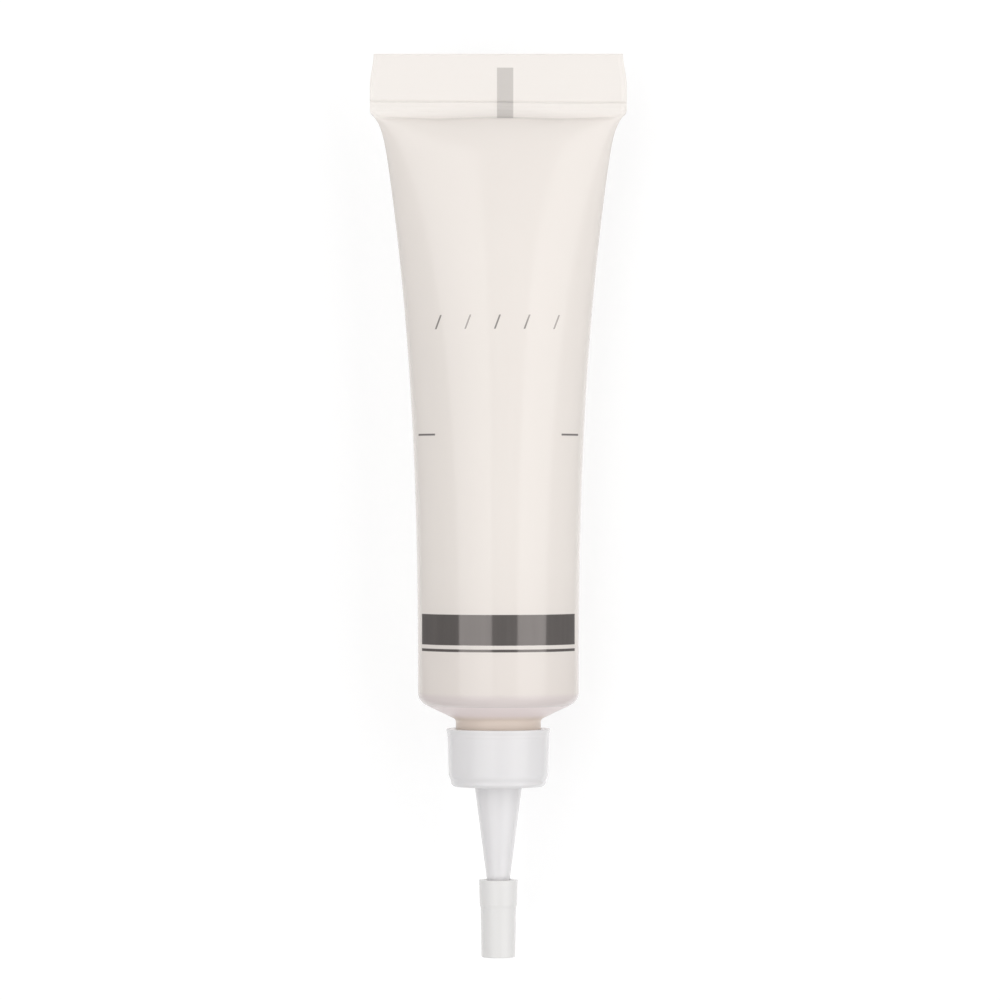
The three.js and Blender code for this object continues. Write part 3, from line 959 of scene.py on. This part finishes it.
def table_finish(sizes):
    """White table. What the camera sees of it is mostly plain white, and the rest keeps the tube's shadow.

    The tube mirrors it as white only close by, so that the sides of the dark print stay dark.
    """
    finish = Finish(bpy.data.materials.new("table_white"))
    path = finish.node("ShaderNodeLightPath", {}, {}, "Is Camera Ray")
    mirrored = path.other("Is Glossy Ray")
    sideways = finish.node("ShaderNodeSeparateXYZ", {}, {"Vector": finish.place()})
    close = between(sideways.math("ABSOLUTE"), -1.0, sizes.board_half, sizes.board_fade)
    shown = (path + path.other("Is Transmission Ray") + mirrored * close).limited()
    lit = finish.node("ShaderNodeBsdfDiffuse", {}, {"Color": 3 * [sizes.table_shade]})
    glow = finish.node("ShaderNodeEmission", {}, {"Color": (1.0, 1.0, 1.0), "Strength": sizes.table_glow})
    seen = finish.node("ShaderNodeAddShader", {}, {0: lit, 1: glow})
    bounce = finish.node("ShaderNodeBsdfDiffuse", {}, {"Color": 3 * [sizes.table_bounce]})
    dark = finish.node("ShaderNodeBsdfDiffuse", {}, {"Color": 3 * [sizes.table_mirror]})
    unseen = finish.node("ShaderNodeMixShader", {}, {0: mirrored, 1: bounce, 2: dark})
    table = finish.node("ShaderNodeMixShader", {}, {0: shown, 1: unseen, 2: seen})
    output = finish.tree.nodes["Material Output"]
    finish.feed(output.inputs["Surface"], table)
    return finish.owner


def dress(piece, material, node, body):
    """Gives a piece its finish, puts it in place of its solid and lets it ride on its body."""
    piece.data.materials.append(material)
    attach(piece, body)
    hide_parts(node)
    return piece


# Operators


class PASTE_TUBE_OT_sleeve(Operator):
    """Make the film sleeve, round at the shoulder and welded flat at the tail"""

    bl_idname = "paste_tube.sleeve"
    bl_label = "Film sleeve"

    def execute(self, context):
        tube = context.scene.paste_tube
        piece = skin("film_sleeve", sleeve_rings(tube.sleeve))
        material = film_finish(tube.finishes, tube.print_, tube.sleeve)
        dress(piece, material, "tube_sleeve", "tube")
        return {"FINISHED"}


class PASTE_TUBE_OT_head(Operator):
    """Make the moulded head with its cone and threaded neck"""

    bl_idname = "paste_tube.head"
    bl_label = "Tube head"

    def execute(self, context):
        tube = context.scene.paste_tube
        piece = skin("moulded_head", head_rings(tube.head, tube.sleeve), looped=True)
        material = head_finish(tube.finishes, tube.sleeve, tube.head)
        dress(piece, material, "tube_head", "tube")
        return {"FINISHED"}


class PASTE_TUBE_OT_paste(Operator):
    """Make the paste that fills the tube and its neck"""

    bl_idname = "paste_tube.paste"
    bl_label = "Paste"

    def execute(self, context):
        tube = context.scene.paste_tube
        piece = skin("paste_fill", paste_rings(tube.paste, tube.sleeve, tube.head))
        dress(piece, paste_finish(tube.finishes), "repair_paste", "tube")
        return {"FINISHED"}


class PASTE_TUBE_OT_nozzle(Operator):
    """Make the screw-on nozzle with its collar and hollow spout"""

    bl_idname = "paste_tube.nozzle"
    bl_label = "Nozzle"

    def execute(self, context):
        tube = context.scene.paste_tube
        piece = skin("screw_nozzle", nozzle_rings(tube.nozzle, tube.head), looped=True)
        colours = tube.finishes
        material = moulded_finish("nozzle_plastic", colours, colours.nozzle, colours.nozzle_roughness)
        dress(piece, material, "nozzle_cap", "nozzle")
        return {"FINISHED"}


class PASTE_TUBE_OT_tip_cap(Operator):
    """Make the small push-on cap of the spout's tip"""

    bl_idname = "paste_tube.tip_cap"
    bl_label = "Tip cap"

    def execute(self, context):
        tube = context.scene.paste_tube
        piece = skin("push_on_cap", cap_rings(tube.cap, tube.nozzle))
        colours = tube.finishes
        material = moulded_finish("cap_plastic", colours, colours.cap, colours.cap_roughness)
        dress(piece, material, "tip_cap", "cap")
        return {"FINISHED"}


def softbox(name, start, end, sizes):
    """A long soft lamp over the tube, between two angles from upright, negative to the left."""
    middle = (start + end) / 2
    half = (end - start) / 2
    lamp = bpy.data.lights.new(name, "AREA")
    lamp.shape = "RECTANGLE"
    lamp.size = 2 * sizes.lamp_distance * math.tan(half)
    lamp.size_y = sizes.lamp_length
    lamp.energy = sizes.lamp_level * math.pi * lamp.size * lamp.size_y
    shown = bpy.data.objects.new(name, lamp)
    shown.location = sizes.lamp_distance * Vector((math.sin(middle), 0, math.cos(middle)))
    shown.location.y = sizes.lamp_shift
    shown.rotation_euler = (0, middle, 0)
    shown.visible_camera = False
    bpy.context.scene.collection.objects.link(shown)


class PASTE_TUBE_OT_stage(Operator):
    """Make the white table, the soft lamps, the sky and the camera over the tube"""

    bl_idname = "paste_tube.stage"
    bl_label = "Table, lamps and camera"

    def execute(self, context):
        scene = context.scene
        sizes = scene.paste_tube.stage
        scene.view_settings.view_transform = "Standard"
        half = sizes.table_size / 2
        mesh = bpy.data.meshes.new("table")
        corners = [(-half, -half, 0), (half, -half, 0), (half, half, 0), (-half, half, 0)]
        mesh.from_pydata(corners, [], [(0, 1, 2, 3)])
        mesh.materials.append(table_finish(sizes))
        table = bpy.data.objects.new("table", mesh)
        table.location.z = -sizes.table_drop
        scene.collection.objects.link(table)
        softbox("left_lamp", sizes.left_outer, sizes.left_inner, sizes)
        softbox("right_lamp", sizes.right_inner, sizes.right_outer, sizes)
        sky = Finish(bpy.data.worlds.new("sky"), "Background")
        direction = sky.node("ShaderNodeTexCoord", {}, {}, "Generated")
        sideways = sky.node("ShaderNodeSeparateXYZ", {}, {"Vector": direction})
        endways = sideways.other("Y")
        level = sizes.sky_level + sizes.sky_tilt * sideways + sizes.sky_ends * endways * endways
        sky.set(Color=(1.0, 1.0, 1.0), Strength=level)
        scene.world = sky.owner
        lens = bpy.data.cameras.new("camera")
        lens.lens = lens.sensor_width * sizes.camera_height / sizes.picture_width
        lens.clip_start = 0.01
        camera = bpy.data.objects.new("camera", lens)
        camera.location = (sizes.camera_x, sizes.camera_y, AXIS_HEIGHT + sizes.camera_height)
        scene.collection.objects.link(camera)
        scene.camera = camera
        return {"FINISHED"}


class PASTE_TUBE_PT_panel(Panel):
    """Lists the pieces of the tube"""

    bl_idname = "PASTE_TUBE_PT_panel"
    bl_label = "Paste tube"
    bl_space_type = "VIEW_3D"
    bl_region_type = "UI"
    bl_category = "Paste tube"

    def draw(self, context):
        for operator in OPERATORS:
            self.layout.operator(operator.bl_idname)


SETTINGS = (
    SleeveSizes,
    HeadSizes,
    PasteSizes,
    NozzleSizes,
    CapSizes,
    PrintSizes,
    Finishes,
    StageSizes,
    TubeSettings,
)
OPERATORS = (
    PASTE_TUBE_OT_stage,
    PASTE_TUBE_OT_sleeve,
    PASTE_TUBE_OT_head,
    PASTE_TUBE_OT_paste,
    PASTE_TUBE_OT_nozzle,
    PASTE_TUBE_OT_tip_cap,
)
CLASSES = (*SETTINGS, *OPERATORS, PASTE_TUBE_PT_panel)


def register():
    for each in CLASSES:
        bpy.utils.register_class(each)
    bpy.types.Scene.paste_tube = PointerProperty(type=TubeSettings)


def unregister():
    del bpy.types.Scene.paste_tube
    for each in reversed(CLASSES):
        bpy.utils.unregister_class(each)


def main():
    register()
    bpy.ops.paste_tube.stage()
    bpy.ops.paste_tube.sleeve()
    bpy.ops.paste_tube.head()
    bpy.ops.paste_tube.paste()
    bpy.ops.paste_tube.nozzle()
    bpy.ops.paste_tube.tip_cap()


if __name__ == "__main__":
    main()
